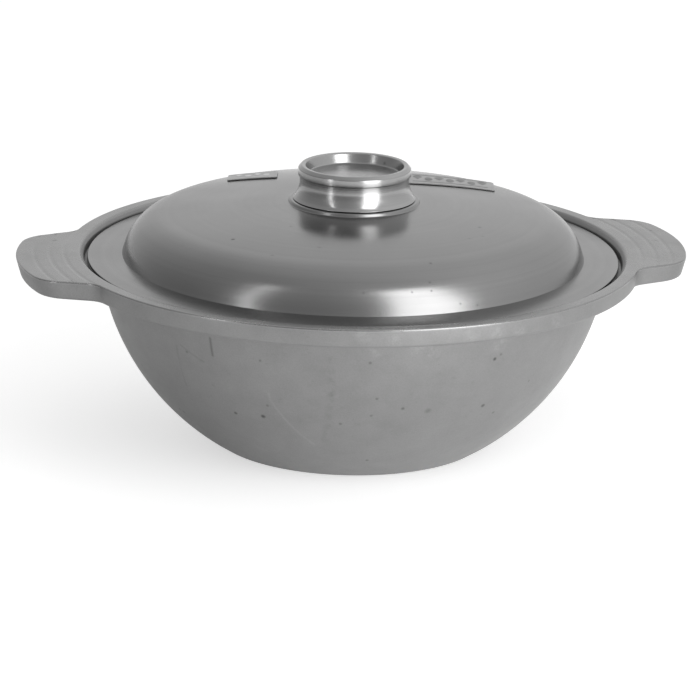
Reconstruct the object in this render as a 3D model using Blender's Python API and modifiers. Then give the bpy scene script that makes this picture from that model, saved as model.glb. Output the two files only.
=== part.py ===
"""Cast aluminium table pot with a domed lid, two cast lug handles and a turned knob.

Run with: blender --background --python part.py, or from Blender's text editor.
Units are metres and +Z is up. The origin is the centre of the flat base, on the surface that
the pot stands on. The two handles lie along X.
"""
import math

import bmesh
import bpy
from mathutils import Matrix, Vector

# Driving dimensions -------------------------------------------------------------------------
GAP = 0.0003                 # clearance between pieces that touch
ROUND_STEPS = 72             # facets around a large turned shape
KNOB_STEPS = 48              # facets around the knob
SMALL_STEPS = 24             # facets around a screw or washer
BOWL_SEGMENTS = 9            # facets down the bowl's wall
CAP_SEGMENTS = 5             # facets across the dome's cap
SHOULDER_SEGMENTS = 5        # facets round the dome's shoulder

LID_RADIUS = 0.1400
FLANGE_TOP = 0.0988          # height of the lid flange's outer edge above the base

# Bowl: the outside is one arc of a circle, turned about Z
BOWL_ARC_RADIUS = 0.1297
BOWL_ARC_X = 0.0050
BOWL_ARC_Z = FLANGE_TOP + 0.0118
WALL = 0.0045
FLOOR_THICKNESS = 0.0060

# Rim, with the recess that the lid sits in
RIM_TOP = FLANGE_TOP + 0.0026
SKIRT_BOTTOM = FLANGE_TOP - 0.0072
RIM_RADIUS = 0.1512
RIM_INNER_RADIUS = 0.1443    # at the rim's top face
SEAT_WALL_RADIUS = 0.1420    # at the lid flange's level
SEAT_DEPTH = 0.0035          # seat below the flange's top edge
SEAT_WALL_LEAN = 0.0002      # how far the recess narrows below the flange's level
SKIRT_DRAFT = 0.008          # inward taper of the skirt, as a part of its radius
HANDLE_DRAFT = 0.015         # the same at the handle's end
UNDER_RIM_FILLET = 0.0030
RIM_OVERLAP = 0.0010         # how far the bowl's blank reaches up into the rim
CUTTER_RISE = 0.0040         # how far the hollow's cutter reaches above the rim

# Lug handles, in plan
HANDLE_END = 0.1778          # from the pot's axis to the end of a handle
HANDLE_END_RADIUS = 0.1100
HANDLE_CORNER_RADIUS = 0.0200
HANDLE_SIDE_ANGLE = math.radians(19.4)
HANDLE_SIDE_OFFSET = 0.0973  # from the pot's axis to the side's line, square to it
HANDLE_ROOT_FILLET = 0.0110
GRIP_GROOVE_RADII = (0.1524, 0.1600, 0.1681)
GRIP_GROOVE_DEPTH = 0.00025
GRIP_GROOVE_INNER = 0.0011   # the groove's width on the side of the pot's axis
GRIP_GROOVE_OUTER = 0.0018   # and on the other side
GROOVE_CUTTER_RISE = 4       # how far its cutter stands up, in groove depths

# Lid
LID_FLANGE_THICKNESS = SEAT_DEPTH - GAP
LID_THICKNESS = 0.0035
FLANGE_RISE = 0.0008         # the flange's rise from its edge to the dome
SHOULDER_RADIUS = 0.0265
SHOULDER_START = math.radians(9.6)
CAP_RADIUS = 0.1005
CAP_TOP = FLANGE_TOP + 0.0291
CAP_DROP = 0.0067            # the cap's fall from its top to its edge, with the radius cubed
FOOT_FILLET = 0.0025
BOSS_RADIUS = 0.0343
BOSS_HEIGHT = 0.0015
BOSS_ROUND = 0.0010
SCREW_HOLE_RADIUS = 0.0029

# Knob
KNOB_BASE = CAP_TOP + BOSS_HEIGHT + GAP
KNOB_BASE_RADIUS = 0.0324
KNOB_WAIST_RADIUS = 0.0288
KNOB_WAIST_HEIGHT = 0.0091   # from the base to the waist, where the flare's arc starts
KNOB_BAND_RADIUS = 0.0297
KNOB_BAND_BOTTOM = 0.0123
KNOB_BAND_TOP = 0.0160
KNOB_TOP = 0.0178
KNOB_LIP_RADIUS = 0.0280
KNOB_LIP_FLAT = 0.0008       # the lip's flat inside its radius
KNOB_LIP_BEVEL = 0.0006      # the lip's bevel outside it
KNOB_LIP_DROP = 0.0004       # height of that bevel, and of the one into the dish
KNOB_BAND_BEVEL = 0.0005
KNOB_DISH_TOP_RADIUS = 0.0259
KNOB_DISH_RADIUS = 0.0243
KNOB_DISH_DEPTH = 0.0054
KNOB_RELIEF_RADIUS = 0.0270
KNOB_RELIEF_DEPTH = 0.0012
KNOB_PAD_RADIUS = 0.0080
KNOB_HOLE_RADIUS = 0.0028
KNOB_HOLE_DEPTH = 0.0098

# Screw and its washers, under the lid
SCREW_RADIUS = 0.0025
SCREW_HEAD_RADIUS = 0.0048
SCREW_HEAD_HEIGHT = 0.0033
HEAD_EDGE_HEIGHT = 0.0018    # the upright part of the pan head's side
HEAD_ROUND_RADIUS = 0.0044   # a point on the head's rounded edge
HEAD_ROUND_HEIGHT = 0.0026   # and its distance from the head's flat side
HEAD_FACE_RADIUS = 0.0035
SCREW_END_CHAMFER = 0.0006
SLOT_WIDTH = 0.0011
SLOT_LENGTH = 0.0050
SLOT_DEPTH = 0.0018
WASHER_RADIUS = 0.0065
WASHER_THICKNESS = 0.0010
SPRING_WASHER_RADIUS = 0.0046
SPRING_WASHER_THICKNESS = 0.0013
SPRING_WASHER_SLIT = 0.0009
SLIT_ANGLE = math.radians(30.0)

# Labels on the dome, in plan: centre, size and turn
LABEL_THICKNESS = 0.0005
LABEL_CORNER = 0.0015
LABEL_TURN = math.radians(-10.2)
LABELS = {
    "label_right": {"centre": (0.0609, 0.0470), "size": (0.0480, 0.0300)},
    "label_left": {"centre": (-0.0431, 0.0738), "size": (0.0270, 0.0220)},
}

# Colours, roughness and metallic of each material
FINISHES = {
    "cast_aluminium": ((0.42, 0.42, 0.42, 1.0), 0.55, 0.9),
    "machined_aluminium": ((0.50, 0.50, 0.50, 1.0), 0.40, 1.0),
    "turned_aluminium": ((0.55, 0.55, 0.55, 1.0), 0.25, 1.0),
    "screw_steel": ((0.60, 0.60, 0.62, 1.0), 0.30, 1.0),
    "label_foil": ((0.55, 0.55, 0.55, 1.0), 0.45, 0.6),
}


# Scene and material helpers -------------------------------------------------------------------
def clear_scene():
    """Remove every object of the open scene."""
    for old in list(bpy.data.objects):
        bpy.data.objects.remove(old, do_unlink=True)


def make_collection(name):
    """Make a collection under the scene's own."""
    collection = bpy.data.collections.new(name)
    bpy.context.scene.collection.children.link(collection)
    return collection


def make_material(obj, finish):
    """Give an object its own Principled material."""
    colour, roughness, metallic = FINISHES[finish]
    material = bpy.data.materials.new(obj.name + "_" + finish)
    material.use_nodes = True
    shader = material.node_tree.nodes["Principled BSDF"]
    shader.inputs["Base Color"].default_value = colour
    shader.inputs["Roughness"].default_value = roughness
    shader.inputs["Metallic"].default_value = metallic
    obj.data.materials.clear()
    obj.data.materials.append(material)


def evaluated_mesh(obj):
    """The object's mesh with its modifiers applied."""
    graph = bpy.context.evaluated_depsgraph_get()
    return bpy.data.meshes.new_from_object(obj.evaluated_get(graph))


def apply_modifiers(obj, sharp_degrees=30.0):
    """Apply an object's modifiers, then shade it smooth with sharp edges kept."""
    mesh = evaluated_mesh(obj)
    obj.modifiers.clear()
    obj.data = mesh
    mesh.shade_smooth()
    mesh.set_sharp_from_angle(angle=math.radians(sharp_degrees))


def mark_cutter(obj):
    """Hide a cutter from renders and draw it as a wire."""
    obj.hide_render = True
    obj.display_type = "WIRE"


def boolean(obj, other, operation):
    """Add an exact Boolean with another object."""
    modifier = obj.modifiers.new(other.name, "BOOLEAN")
    modifier.operation = operation
    modifier.solver = "EXACT"
    modifier.object = other


# Shape helpers --------------------------------------------------------------------------------
def arc(centre, radius, start, end, segments):
    """Points on an arc from one angle to another, both ends included."""
    points = []
    for i in range(segments + 1):
        angle = start + (end - start) * i / segments
        points.append((centre[0] + radius * math.cos(angle), centre[1] + radius * math.sin(angle)))
    return points


def turned(name, profile, collection, steps=ROUND_STEPS, closed=False):
    """Turn a profile of (radius, height) points about Z with a Screw modifier."""
    mesh = bpy.data.meshes.new(name)
    shape = bmesh.new()
    verts = [shape.verts.new((radius, 0.0, height)) for radius, height in profile]
    for first, second in zip(verts, verts[1:]):
        shape.edges.new((first, second))
    if closed:
        shape.edges.new((verts[-1], verts[0]))
    shape.to_mesh(mesh)
    shape.free()
    obj = bpy.data.objects.new(name, mesh)
    collection.objects.link(obj)
    screw = obj.modifiers.new("Turn", "SCREW")
    screw.axis = "Z"
    screw.steps = steps
    screw.render_steps = steps
    screw.use_merge_vertices = True
    screw.merge_threshold = 0.00005
    screw.use_smooth_shade = True
    return obj


def extruded(name, outline, bottom, top, collection):
    """Extrude a closed flat outline between two heights, as a welded mesh object."""
    curve = bpy.data.curves.new(name, "CURVE")
    curve.dimensions = "2D"
    curve.fill_mode = "BOTH"
    curve.extrude = (top - bottom) / 2
    spline = curve.splines.new("POLY")
    spline.points.add(len(outline) - 1)
    for point, (x, y) in zip(spline.points, outline):
        point.co = (x, y, 0.0, 1.0)
    spline.use_cyclic_u = True
    drawn = bpy.data.objects.new(name + "_outline", curve)
    drawn.location.z = (top + bottom) / 2
    collection.objects.link(drawn)
    bpy.context.view_layer.update()
    mesh = evaluated_mesh(drawn)
    mesh.transform(drawn.matrix_world)
    bpy.data.objects.remove(drawn, do_unlink=True)
    weld(mesh)
    obj = bpy.data.objects.new(name, mesh)
    collection.objects.link(obj)
    return obj


def weld(mesh):
    """Merge the loose caps of an extruded outline and turn its faces out."""
    shape = bmesh.new()
    shape.from_mesh(mesh)
    bmesh.ops.remove_doubles(shape, verts=shape.verts, dist=0.000001)
    bmesh.ops.recalc_face_normals(shape, faces=shape.faces)
    shape.to_mesh(mesh)
    shape.free()


def box(name, size, centre, collection):
    """A box of a given size round a centre."""
    mesh = bpy.data.meshes.new(name)
    shape = bmesh.new()
    place = Matrix.Translation(Vector(centre)) @ Matrix.Diagonal(Vector((*size, 1.0)))
    bmesh.ops.create_cube(shape, size=1.0, matrix=place)
    shape.to_mesh(mesh)
    shape.free()
    obj = bpy.data.objects.new(name, mesh)
    collection.objects.link(obj)
    return obj


# Pot ------------------------------------------------------------------------------------------
def bowl_arc(offset, low, high):
    """The bowl's wall from a high to a low level, moved inwards by an offset."""
    radius = BOWL_ARC_RADIUS - offset
    centre = (BOWL_ARC_X, BOWL_ARC_Z)
    start = math.asin((high - BOWL_ARC_Z) / radius)
    end = math.asin((low - BOWL_ARC_Z) / radius)
    return arc(centre, radius, start, end, BOWL_SEGMENTS)


def handle_quarter():
    """A quarter of the rim's plan: handle end, corner, side, root fillet and rim."""
    end_centre = (HANDLE_END - HANDLE_END_RADIUS, 0.0)
    side_normal = math.pi / 2 - HANDLE_SIDE_ANGLE
    # The corner's centre is inside the side's line and inside the end's arc.
    inset = HANDLE_SIDE_OFFSET - HANDLE_CORNER_RADIUS - end_centre[0] * math.cos(side_normal)
    reach = HANDLE_END_RADIUS - HANDLE_CORNER_RADIUS
    corner_start = side_normal - math.acos(inset / reach)
    corner_centre = (
        end_centre[0] + reach * math.cos(corner_start),
        reach * math.sin(corner_start),
    )
    # The root fillet's centre is outside the side's line and outside the rim's circle.
    fillet_reach = RIM_RADIUS + HANDLE_ROOT_FILLET
    fillet_offset = HANDLE_SIDE_OFFSET + HANDLE_ROOT_FILLET
    root_angle = side_normal - math.acos(fillet_offset / fillet_reach)
    fillet_centre = (fillet_reach * math.cos(root_angle), fillet_reach * math.sin(root_angle))
    points = arc(end_centre, HANDLE_END_RADIUS, 0.0, corner_start, 3)
    points += arc(corner_centre, HANDLE_CORNER_RADIUS, corner_start, side_normal, 6)[1:]
    fillet_from = side_normal + math.pi
    fillet_to = root_angle + math.pi
    points += arc(fillet_centre, HANDLE_ROOT_FILLET, fillet_from, fillet_to, 4)
    points += arc((0.0, 0.0), RIM_RADIUS, root_angle, math.pi / 2, 18)[1:]
    return points


def rim_outline():
    """The whole plan of the rim with both handles, as a closed loop."""
    quarter = handle_quarter()
    half = quarter + [(-x, y) for x, y in reversed(quarter[:-1])]
    return half + [(x, -y) for x, y in reversed(half[1:-1])]


def draft_lower_edge(obj):
    """Pull the lower outline inwards, a little more at the handles' ends."""
    middle = (RIM_TOP + SKIRT_BOTTOM) / 2
    for vertex in obj.data.vertices:
        if vertex.co.z > middle:
            continue
        radius = math.hypot(vertex.co.x, vertex.co.y)
        along = (radius - RIM_RADIUS) / (HANDLE_END - RIM_RADIUS)
        factor = 1.0 - SKIRT_DRAFT - (HANDLE_DRAFT - SKIRT_DRAFT) * along
        vertex.co.x *= factor
        vertex.co.y *= factor


def groove_cutter(number, radius, collection):
    """A ring with a V below it, for one of the shallow arcs across the handles' tops."""
    above = GROOVE_CUTTER_RISE * GRIP_GROOVE_DEPTH
    widen = 1.0 + GROOVE_CUTTER_RISE
    profile = [
        (radius - GRIP_GROOVE_INNER * widen, RIM_TOP + above),
        (radius + GRIP_GROOVE_OUTER * widen, RIM_TOP + above),
        (radius, RIM_TOP - GRIP_GROOVE_DEPTH),
    ]
    cutter = turned("grip_groove_" + str(number), profile, collection, closed=True)
    mark_cutter(cutter)
    return cutter


def hollow_cutter(collection):
    """The space inside the bowl with the lid's recess on top, as a turned solid."""
    slope = (RIM_INNER_RADIUS - SEAT_WALL_RADIUS) / (RIM_TOP - FLANGE_TOP)
    seat = FLANGE_TOP - SEAT_DEPTH
    profile = [
        (0.0, RIM_TOP + CUTTER_RISE),
        (RIM_INNER_RADIUS + slope * CUTTER_RISE, RIM_TOP + CUTTER_RISE),
        (RIM_INNER_RADIUS, RIM_TOP),
        (SEAT_WALL_RADIUS, FLANGE_TOP),
        (SEAT_WALL_RADIUS - SEAT_WALL_LEAN, seat),
    ]
    profile += bowl_arc(WALL, FLOOR_THICKNESS, seat)
    profile.append((0.0, FLOOR_THICKNESS))
    cutter = turned("hollow_cutter", profile, collection)
    mark_cutter(cutter)
    return cutter


def make_pot(parts, cutters):
    """The pot's one casting: bowl, rim with its lid seat, and two lug handles."""
    pot = extruded("pot_body", rim_outline(), SKIRT_BOTTOM, RIM_TOP, parts)
    draft_lower_edge(pot)
    under = SKIRT_BOTTOM - UNDER_RIM_FILLET
    wall = bowl_arc(0.0, 0.0, under)
    fillet_centre = (wall[0][0] + UNDER_RIM_FILLET, under)
    fillet = arc(fillet_centre, UNDER_RIM_FILLET, math.pi / 2, math.pi, 3)
    overlap = SKIRT_BOTTOM + RIM_OVERLAP
    profile = [(0.0, overlap), (fillet_centre[0], overlap)]
    profile += fillet + wall[1:] + [(0.0, 0.0)]
    bowl = turned("bowl_blank", profile, cutters)
    mark_cutter(bowl)
    boolean(pot, bowl, "UNION")
    boolean(pot, hollow_cutter(cutters), "DIFFERENCE")
    for number, radius in enumerate(GRIP_GROOVE_RADII, start=1):
        boolean(pot, groove_cutter(number, radius, cutters), "DIFFERENCE")
    apply_modifiers(pot)
    make_material(pot, "cast_aluminium")
    return pot


# Lid ------------------------------------------------------------------------------------------
def cap_height(radius):
    """Height of the dome's cap, which falls with the radius cubed."""
    return CAP_TOP - CAP_DROP * (radius / CAP_RADIUS) ** 3


def dome_outside():
    """The dome's outside from the edge of its boss down to its foot."""
    points = []
    for i in range(CAP_SEGMENTS + 1):
        radius = BOSS_RADIUS + (CAP_RADIUS - BOSS_RADIUS) * i / CAP_SEGMENTS
        points.append((radius, cap_height(radius)))
    slope = 3 * CAP_DROP / CAP_RADIUS
    shoulder_end = math.atan2(1.0, slope)
    centre = (
        CAP_RADIUS - SHOULDER_RADIUS * math.cos(shoulder_end),
        cap_height(CAP_RADIUS) - SHOULDER_RADIUS * math.sin(shoulder_end),
    )
    points += arc(centre, SHOULDER_RADIUS, shoulder_end, SHOULDER_START, SHOULDER_SEGMENTS)[1:]
    return points


def shifted_inwards(points, distance):
    """Move each point of a profile square to it, towards the inside."""
    moved = []
    for i, point in enumerate(points):
        before = points[max(i - 1, 0)]
        after = points[min(i + 1, len(points) - 1)]
        run = after[0] - before[0]
        drop = before[1] - after[1]
        length = math.hypot(run, drop)
        moved.append((point[0] - distance * drop / length, point[1] - distance * run / length))
    return moved


def make_lid(parts):
    """The lid's casting: flange, dome, boss and the hole for the knob's screw."""
    dome = dome_outside()
    foot = dome[-1]
    boss_top = CAP_TOP + BOSS_HEIGHT
    boss = [(SCREW_HOLE_RADIUS, boss_top)]
    boss_centre = (BOSS_RADIUS - BOSS_ROUND, boss_top - BOSS_ROUND)
    boss += arc(boss_centre, BOSS_ROUND, math.pi / 2, 0.0, 3)
    flange_in = FLANGE_TOP + FLANGE_RISE
    fillet_centre = (foot[0] + FOOT_FILLET, flange_in + FOOT_FILLET)
    fillet = arc(fillet_centre, FOOT_FILLET, math.pi, 1.5 * math.pi, 3)
    bottom = FLANGE_TOP - LID_FLANGE_THICKNESS
    upper = [point for point in dome if point[1] > fillet[0][1]]
    inner = shifted_inwards(upper, LID_THICKNESS)
    inner[-1] = (inner[-1][0], bottom)
    profile = boss + upper + fillet
    profile += [(LID_RADIUS, FLANGE_TOP), (LID_RADIUS, bottom)]
    profile += list(reversed(inner))
    profile.append((SCREW_HOLE_RADIUS, CAP_TOP - LID_THICKNESS))
    lid = turned("lid", profile, parts, closed=True)
    apply_modifiers(lid)
    make_material(lid, "machined_aluminium")
    return lid


def make_label(name, parts, cutters):
    """A thin label that follows the dome, cut from a shell by an upright outline."""
    centre, size = LABELS[name]["centre"], LABELS[name]["size"]
    half_x = size[0] / 2 - LABEL_CORNER
    half_y = size[1] / 2 - LABEL_CORNER
    outline = []
    for number, (sign_x, sign_y) in enumerate(((1, 1), (-1, 1), (-1, -1), (1, -1))):
        start = number * math.pi / 2
        corner = (sign_x * half_x, sign_y * half_y)
        outline += arc(corner, LABEL_CORNER, start, start + math.pi / 2, 3)
    outer = dome_outside()
    shell = shifted_inwards(outer, -GAP - LABEL_THICKNESS)
    shell += list(reversed(shifted_inwards(outer, -GAP)))
    label = turned(name, shell, parts, closed=True)
    blank = extruded(name + "_outline", outline, FLANGE_TOP, KNOB_BASE, cutters)
    blank.data.transform(Matrix.Rotation(LABEL_TURN, 4, "Z"))
    blank.location = (centre[0], centre[1], 0.0)
    mark_cutter(blank)
    bpy.context.view_layer.update()
    boolean(label, blank, "INTERSECT")
    apply_modifiers(label)
    make_material(label, "label_foil")
    return label


# Knob and its fixing --------------------------------------------------------------------------
def make_knob(parts):
    """The turned knob: dished top, band, waist, flared foot and a blind hole below."""
    base = KNOB_BASE
    waist = base + KNOB_WAIST_HEIGHT
    flare = KNOB_BASE_RADIUS - KNOB_WAIST_RADIUS
    flare_radius = (flare ** 2 + KNOB_WAIST_HEIGHT ** 2) / (2 * flare)
    flare_centre = (KNOB_WAIST_RADIUS + flare_radius, waist)
    flare_end = math.pi + math.asin(KNOB_WAIST_HEIGHT / flare_radius)
    dish = base + KNOB_TOP - KNOB_DISH_DEPTH
    profile = [
        (0.0, dish),
        (KNOB_DISH_RADIUS, dish),
        (KNOB_DISH_TOP_RADIUS, base + KNOB_TOP - KNOB_LIP_DROP),
        (KNOB_LIP_RADIUS - KNOB_LIP_FLAT, base + KNOB_TOP),
        (KNOB_LIP_RADIUS + KNOB_LIP_BEVEL, base + KNOB_TOP - KNOB_LIP_DROP),
        (KNOB_BAND_RADIUS, base + KNOB_BAND_TOP),
        (KNOB_BAND_RADIUS, base + KNOB_BAND_BOTTOM + KNOB_BAND_BEVEL),
        (KNOB_WAIST_RADIUS, base + KNOB_BAND_BOTTOM),
    ]
    profile += arc(flare_centre, flare_radius, math.pi, flare_end, 6)
    profile += [
        (KNOB_RELIEF_RADIUS, base),
        (KNOB_RELIEF_RADIUS, base + KNOB_RELIEF_DEPTH),
        (KNOB_PAD_RADIUS, base + KNOB_RELIEF_DEPTH),
        (KNOB_PAD_RADIUS, base),
        (KNOB_HOLE_RADIUS, base),
        (KNOB_HOLE_RADIUS, base + KNOB_HOLE_DEPTH),
        (0.0, base + KNOB_HOLE_DEPTH),
    ]
    knob = turned("knob", profile, parts, steps=KNOB_STEPS)
    apply_modifiers(knob)
    make_material(knob, "turned_aluminium")
    return knob


def make_washers(parts, cutters):
    """The flat washer under the lid and the split spring washer below it."""
    top = CAP_TOP - LID_THICKNESS - GAP
    bottom = top - WASHER_THICKNESS
    ring = [
        (SCREW_HOLE_RADIUS, top),
        (WASHER_RADIUS, top),
        (WASHER_RADIUS, bottom),
        (SCREW_HOLE_RADIUS, bottom),
    ]
    flat = turned("knob_washer", ring, parts, steps=SMALL_STEPS, closed=True)
    apply_modifiers(flat)
    make_material(flat, "screw_steel")
    top = bottom - GAP
    bottom = top - SPRING_WASHER_THICKNESS
    ring = [
        (SCREW_HOLE_RADIUS, top),
        (SPRING_WASHER_RADIUS, top),
        (SPRING_WASHER_RADIUS, bottom),
        (SCREW_HOLE_RADIUS, bottom),
    ]
    spring = turned("knob_spring_washer", ring, parts, steps=SMALL_STEPS, closed=True)
    slit_size = (SPRING_WASHER_RADIUS, SPRING_WASHER_SLIT, 3 * SPRING_WASHER_THICKNESS)
    slit = box("spring_washer_slit", slit_size, (0.0, 0.0, 0.0), cutters)
    slit.rotation_euler.x = SLIT_ANGLE
    slit.location = (SPRING_WASHER_RADIUS, 0.0, (top + bottom) / 2)
    mark_cutter(slit)
    bpy.context.view_layer.update()
    boolean(spring, slit, "DIFFERENCE")
    apply_modifiers(spring)
    make_material(spring, "screw_steel")
    return bottom - GAP


def make_screw(parts, cutters, head_top):
    """The cross-head screw that comes up through the lid into the knob."""
    tip = KNOB_BASE + KNOB_HOLE_DEPTH - 2 * GAP
    bottom = head_top - SCREW_HEAD_HEIGHT
    profile = [
        (0.0, tip),
        (SCREW_RADIUS - SCREW_END_CHAMFER, tip),
        (SCREW_RADIUS, tip - SCREW_END_CHAMFER),
        (SCREW_RADIUS, head_top),
        (SCREW_HEAD_RADIUS, head_top),
        (SCREW_HEAD_RADIUS, head_top - HEAD_EDGE_HEIGHT),
        (HEAD_ROUND_RADIUS, head_top - HEAD_ROUND_HEIGHT),
        (HEAD_FACE_RADIUS, bottom),
        (0.0, bottom),
    ]
    screw = turned("knob_screw", profile, parts, steps=SMALL_STEPS)
    for number, size in enumerate(((SLOT_LENGTH, SLOT_WIDTH), (SLOT_WIDTH, SLOT_LENGTH))):
        name = "screw_slot_" + str(number + 1)
        slot = box(name, (*size, 2 * SLOT_DEPTH), (0.0, 0.0, bottom), cutters)
        mark_cutter(slot)
        boolean(screw, slot, "DIFFERENCE")
    apply_modifiers(screw)
    make_material(screw, "screw_steel")
    return screw


def main():
    """Build the pot, its lid and the knob's fixing."""
    clear_scene()
    parts = make_collection("lidded_pot")
    cutters = make_collection("cutters")
    make_pot(parts, cutters)
    lifting = bpy.data.objects.new("lid_lift", None)
    parts.objects.link(lifting)
    pieces = [make_lid(parts), make_knob(parts)]
    pieces.append(make_screw(parts, cutters, make_washers(parts, cutters)))
    pieces += [bpy.data.objects["knob_washer"], bpy.data.objects["knob_spring_washer"]]
    pieces += [make_label(name, parts, cutters) for name in LABELS]
    for piece in pieces:
        piece.parent = lifting


main()
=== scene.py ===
"""Looks of a cast aluminium table pot: blasted bowl, turned lid and a bright turned knob.

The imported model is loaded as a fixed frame. Finer meshes of the same sizes are built round it and
ride on its bodies. Units are metres and +Z is up.
"""
import logging
import math
from dataclasses import dataclass
from enum import Enum

import bmesh
import bpy
import numpy as np
from mathutils import Matrix, Vector

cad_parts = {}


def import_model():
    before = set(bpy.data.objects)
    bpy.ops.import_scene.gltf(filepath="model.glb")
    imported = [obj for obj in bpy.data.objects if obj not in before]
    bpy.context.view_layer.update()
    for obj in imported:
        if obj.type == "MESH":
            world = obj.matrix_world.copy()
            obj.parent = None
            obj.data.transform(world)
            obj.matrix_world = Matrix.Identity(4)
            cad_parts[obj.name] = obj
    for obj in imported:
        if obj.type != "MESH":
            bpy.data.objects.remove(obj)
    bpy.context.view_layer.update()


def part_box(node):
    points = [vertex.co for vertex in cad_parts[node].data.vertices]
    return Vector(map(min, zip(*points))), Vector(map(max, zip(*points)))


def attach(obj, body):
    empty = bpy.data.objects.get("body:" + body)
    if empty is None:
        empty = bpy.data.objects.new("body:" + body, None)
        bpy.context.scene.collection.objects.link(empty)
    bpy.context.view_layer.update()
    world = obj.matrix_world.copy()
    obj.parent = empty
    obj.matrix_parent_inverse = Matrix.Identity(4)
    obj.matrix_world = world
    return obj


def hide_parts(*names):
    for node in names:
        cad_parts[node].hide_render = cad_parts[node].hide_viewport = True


LOG = logging.getLogger("lidded_pot")
TURN_STEPS = 480
SHARP_ANGLE = math.radians(42.0)
KNOB_STEPS = 256
SMALL_STEPS = 96

Point = tuple[float, float]
Place = tuple[float, float, float]
Mark = tuple[Place, float, float]
Socket = bpy.types.NodeSocket


class Body(Enum):
    """The bodies that pieces ride on."""

    POT = "pot"
    LID = "lid"


class Slot(Enum):
    """The record's material slots."""

    CAST = "cast_body"
    MACHINED = "machined_lid"
    TURNED = "turned_knob"
    FASTENER = "fastener"
    LABEL = "label"


# Profiles and meshes ---------------------------------------------------------------------------
def arc(centre: Point, radius: float, start: float, end: float, segments: int) -> list[Point]:
    """Points along an arc of a circle.

    Args:
        centre: the circle's centre.
        radius: the circle's radius.
        start: the first point's angle in radians.
        end: the last point's angle in radians.
        segments: how many equal steps lie between them.

    Returns:
        The points, both ends included.
    """
    angles = np.linspace(start, end, segments + 1)
    return [(centre[0] + radius * math.cos(a), centre[1] + radius * math.sin(a)) for a in angles]


def straight(first: Point, last: Point, segments: int) -> list[Point]:
    """Points along a straight line.

    Args:
        first: the line's start.
        last: the line's end.
        segments: how many equal steps lie between them.

    Returns:
        The points, both ends included.
    """
    steps = np.linspace(0.0, 1.0, segments + 1)
    return [(first[0] + (last[0] - first[0]) * t, first[1] + (last[1] - first[1]) * t) for t in steps]


def rounded(corners: list[Point], radii: list[float], segments: int = 5) -> list[Point]:
    """Round the corners of a profile with arcs.

    Args:
        corners: the profile's corners, its two ends included.
        radii: one radius for each corner, 0 where it stays sharp.
        segments: how many steps each arc has.

    Returns:
        The profile's points.
    """
    points = [corners[0]]
    for i in range(1, len(corners) - 1):
        here = Vector(corners[i])
        back = Vector(corners[i - 1]) - here
        ahead = Vector(corners[i + 1]) - here
        turn = back.angle(ahead)
        if radii[i] <= 0.0 or turn > math.radians(179.0):
            points.append(corners[i])
            continue
        reach = radii[i] / math.tan(turn / 2)
        reach = min(reach, 0.48 * back.length, 0.48 * ahead.length)
        radius = reach * math.tan(turn / 2)
        start = here + back.normalized() * reach
        bisector = (back.normalized() + ahead.normalized()).normalized()
        centre = here + bisector * (radius / math.sin(turn / 2))
        end = here + ahead.normalized() * reach
        first = math.atan2(start.y - centre.y, start.x - centre.x)
        last = math.atan2(end.y - centre.y, end.x - centre.x)
        sweep = (last - first + math.pi) % (2 * math.pi) - math.pi
        points += arc((centre.x, centre.y), radius, first, first + sweep, segments)
    points.append(corners[-1])
    return points


def offset(points: list[Point], distance: float) -> list[Point]:
    """Move a profile square to itself, towards its inside.

    Args:
        points: a profile that runs down its outer side.
        distance: how far it moves.

    Returns:
        The moved points.
    """
    moved = []
    for i, point in enumerate(points):
        before = Vector(points[max(i - 1, 0)])
        after = Vector(points[min(i + 1, len(points) - 1)])
        along = (after - before).normalized()
        moved.append((point[0] + distance * along.y, point[1] - distance * along.x))
    return moved


def ring_mesh(name: str, rings: np.ndarray, closed: bool = False) -> bpy.types.Object:
    """Skin a stack of rings of points into one closed surface.

    Args:
        name: the new object's name.
        rings: an array of rings, points and coordinates. The first and last ring may each lie
            on one point, which then becomes a single vertex.
        closed: whether the last ring joins the first.

    Returns:
        The new object, shaded smooth.
    """
    count, around = rings.shape[:2]
    top_pole = not closed and np.ptp(rings[0], axis=0).max() < 1e-9
    end_pole = not closed and np.ptp(rings[-1], axis=0).max() < 1e-9
    first = 1 if top_pole else 0
    last = count - 1 if end_pole else count
    body = rings[first:last]
    verts = body.reshape(-1, 3).tolist()
    rows = len(body)
    index = np.arange(rows * around).reshape(rows, around)
    upper = index if closed else index[:-1]
    lower = np.roll(index, -1, axis=0) if closed else index[1:]
    quads = np.stack([upper, lower, np.roll(lower, -1, axis=1), np.roll(upper, -1, axis=1)], -1)
    faces = quads.reshape(-1, 4).tolist()
    if top_pole:
        verts.append(rings[0][0].tolist())
        pole = len(verts) - 1
        faces += [(pole, int(index[0][i]), int(index[0][(i + 1) % around])) for i in range(around)]
    if end_pole:
        verts.append(rings[-1][0].tolist())
        pole = len(verts) - 1
        faces += [(pole, int(index[-1][(i + 1) % around]), int(index[-1][i])) for i in range(around)]
    mesh = bpy.data.meshes.new(name)
    mesh.from_pydata(verts, [], faces)
    mesh.validate()
    mesh.shade_smooth()
    mesh.set_sharp_from_angle(angle=SHARP_ANGLE)
    obj = bpy.data.objects.new(name, mesh)
    bpy.context.scene.collection.objects.link(obj)
    return obj


def turned(name: str, profile: list[Point], steps: int, closed: bool = False) -> bpy.types.Object:
    """Turn a profile about Z.

    Args:
        name: the new object's name.
        profile: (radius, height) points that run down the outer side.
        steps: how many facets lie around the axis.
        closed: whether the profile is a loop that stays off the axis.

    Returns:
        The new object.
    """
    angles = np.linspace(0.0, 2 * math.pi, steps, endpoint=False)
    radii = np.array([p[0] for p in profile])[:, None]
    heights = np.array([p[1] for p in profile])[:, None]
    flat = np.ones_like(angles)[None, :]
    rings = np.stack([radii * np.cos(angles), radii * np.sin(angles), heights * flat], -1)
    return ring_mesh(name, rings, closed)


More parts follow.
